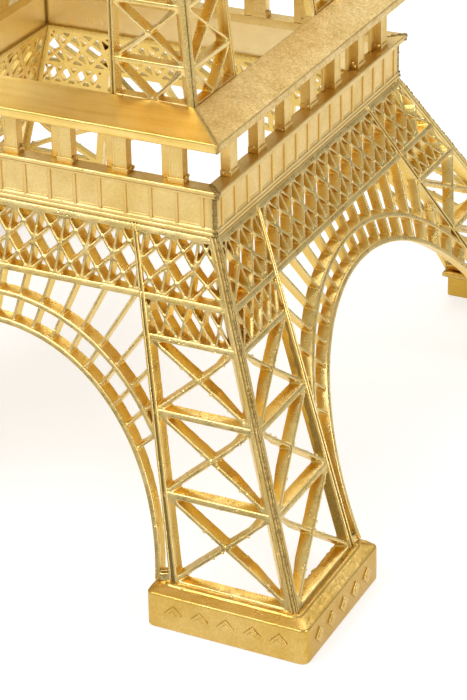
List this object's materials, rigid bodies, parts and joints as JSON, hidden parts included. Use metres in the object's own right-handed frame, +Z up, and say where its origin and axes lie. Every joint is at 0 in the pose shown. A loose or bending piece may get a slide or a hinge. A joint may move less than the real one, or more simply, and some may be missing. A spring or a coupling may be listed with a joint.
{
  "type": "miniature landmark model",
  "caption": "Gold-plated cast-metal souvenir of an iron lattice tower, with arched legs on angle-shaped feet, two galleries and a tapering column with a mast.",
  "frame": {"origin": "middle of the square footprint, on the surface that the feet rest on", "axes": "+Z up to the tip of the mast, -Y out of the front side, +X out of the right side"},
  "size_m": [0.1828, 0.1828, 0.48],
  "materials": {
    "pale_gilt": "thin pale gold plating on a zinc alloy casting, softly polished",
    "deep_gilt": "gold plating over lattice castings with trimmed flash on the bars' edges",
    "grained_gilt": "gold plating over a brushed and slightly grainy surface"
  },
  "bodies": {
    "root": {"foot_front_right": "pale_gilt", "foot_back_right": "pale_gilt", "foot_back_left": "pale_gilt", "foot_front_left": "pale_gilt", "lower_side_front": "deep_gilt", "lower_side_right": "deep_gilt", "lower_side_back": "deep_gilt", "lower_side_left": "deep_gilt", "first_gallery_front": "pale_gilt", "first_gallery_right": "pale_gilt", "first_gallery_back": "pale_gilt", "first_gallery_left": "pale_gilt", "first_roof_front": "grained_gilt", "first_roof_right": "grained_gilt", "first_roof_back": "grained_gilt", "first_roof_left": "grained_gilt", "middle_side_front": "deep_gilt", "middle_side_right": "deep_gilt", "middle_side_back": "deep_gilt", "middle_side_left": "deep_gilt", "second_gallery_front": "pale_gilt", "second_gallery_right": "pale_gilt", "second_gallery_back": "pale_gilt", "second_gallery_left": "pale_gilt", "second_roof_front": "grained_gilt", "second_roof_right": "grained_gilt", "second_roof_back": "grained_gilt", "second_roof_left": "grained_gilt", "upper_side_front": "deep_gilt", "upper_side_right": "deep_gilt", "upper_side_back": "deep_gilt", "upper_side_left": "deep_gilt", "upper_collar": "pale_gilt", "top_platform": "pale_gilt", "top_cabin": "pale_gilt", "dome": "pale_gilt", "mast": "pale_gilt"}
  },
  "joints": []
}
